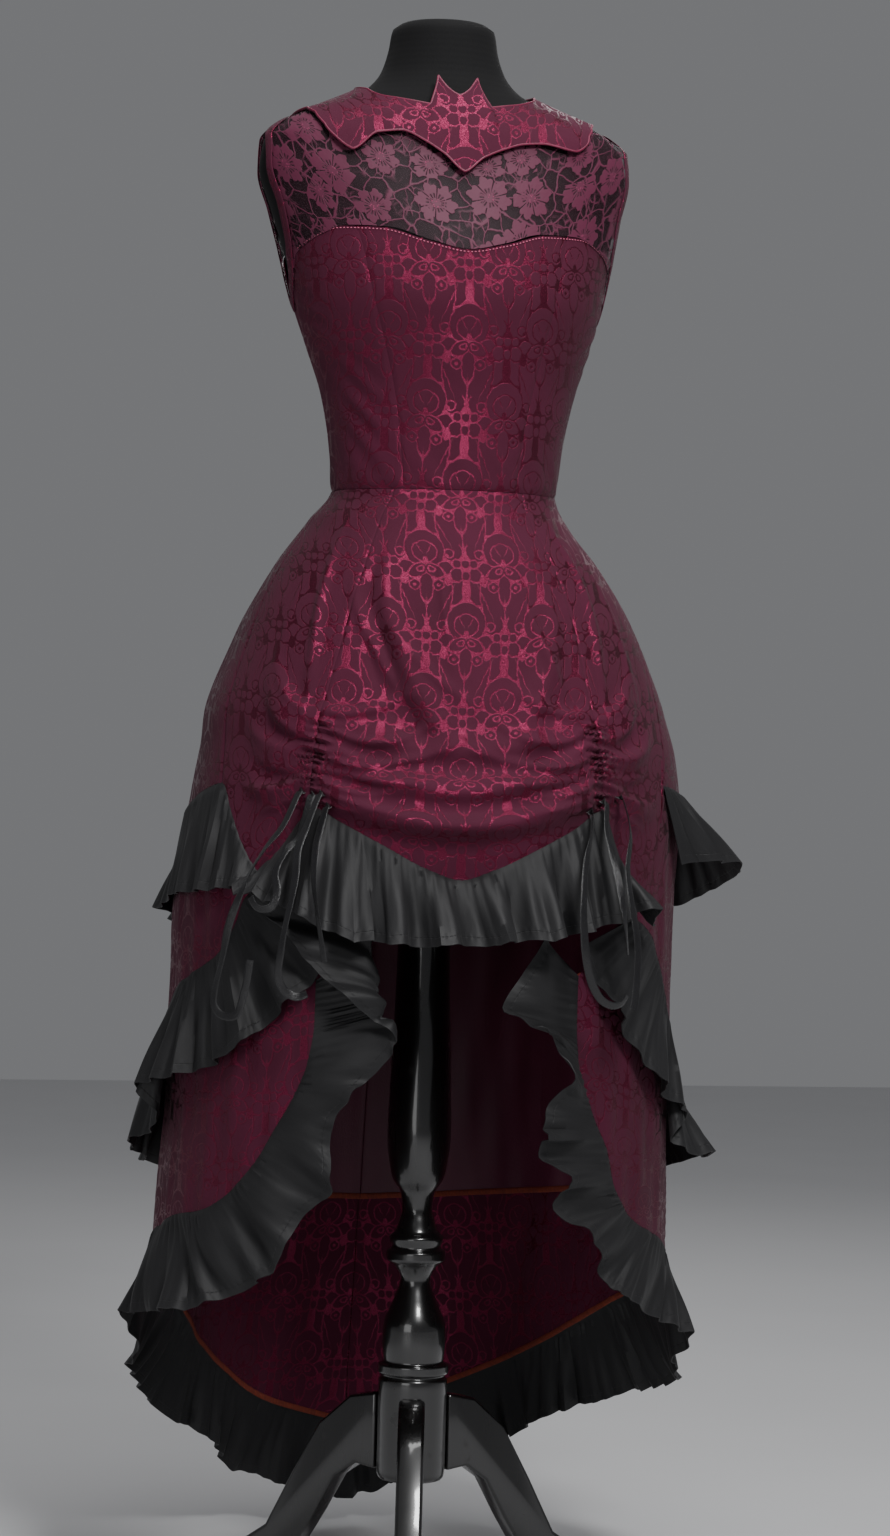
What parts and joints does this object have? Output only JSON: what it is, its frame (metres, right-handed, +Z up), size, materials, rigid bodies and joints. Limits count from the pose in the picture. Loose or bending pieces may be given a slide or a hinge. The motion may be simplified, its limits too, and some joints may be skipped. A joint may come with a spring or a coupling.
{
  "type": "bustle dress on dress form",
  "caption": "Sleeveless burgundy brocade bustle dress with lace yoke, gathered apron front and open ruffled tiers, on a limbless dress form with turned stand",
  "frame": {"origin": "middle of the bounding box on the floor, under the stand", "axes": "+Z up the post, the dress faces -Y, +X is the wearer's left"},
  "size_m": [0.6944, 0.6669, 1.775],
  "materials": {
    "brocade": "burgundy jacquard, matte figures on a satin ground",
    "lace": "stretch floral lace on a fine net",
    "lining": "plain weave",
    "ruffle_taffeta": "black taffeta with a stitched hem",
    "ribbon_satin": "black satin ribbon",
    "form_jersey": "black jersey over the form",
    "stand_wood": "black gloss lacquer"
  },
  "bodies": {
    "root": {"apron_ruffle": "ruffle_taffeta", "armhole_binding_left": "brocade", "armhole_binding_right": "brocade", "bodice_back_left": "brocade", "bodice_back_right": "brocade", "bodice_front": "brocade", "bodice_side_front_left": "brocade", "bodice_side_front_right": "brocade", "collar": "brocade", "form_torso": "form_jersey", "lining_left": "lining", "lining_right": "lining", "ribbon_left_front": "ribbon_satin", "ribbon_left_loop": "ribbon_satin", "ribbon_left_tail": "ribbon_satin", "ribbon_right_front": "ribbon_satin", "ribbon_right_loop": "ribbon_satin", "ribbon_right_low": "ribbon_satin", "ribbon_right_tail": "ribbon_satin", "skirt_back_left": "brocade", "skirt_back_right": "brocade", "skirt_front": "brocade", "skirt_side_front_left": "brocade", "skirt_side_front_right": "brocade", "stand_leg_1": "stand_wood", "stand_leg_2": "stand_wood", "stand_leg_3": "stand_wood", "stand_post": "stand_wood", "tier_one_ruffle_left": "ruffle_taffeta", "tier_one_ruffle_right": "ruffle_taffeta", "tier_three_panel_left": "brocade", "tier_three_panel_right": "brocade", "tier_three_ruffle_left": "ruffle_taffeta", "tier_three_ruffle_right": "ruffle_taffeta", "tier_two_panel_left": "brocade", "tier_two_panel_right": "brocade", "tier_two_ruffle_left": "ruffle_taffeta", "tier_two_ruffle_right": "ruffle_taffeta", "yoke_back_left": "lace", "yoke_back_right": "lace", "yoke_front": "lace"}
  },
  "joints": []
}
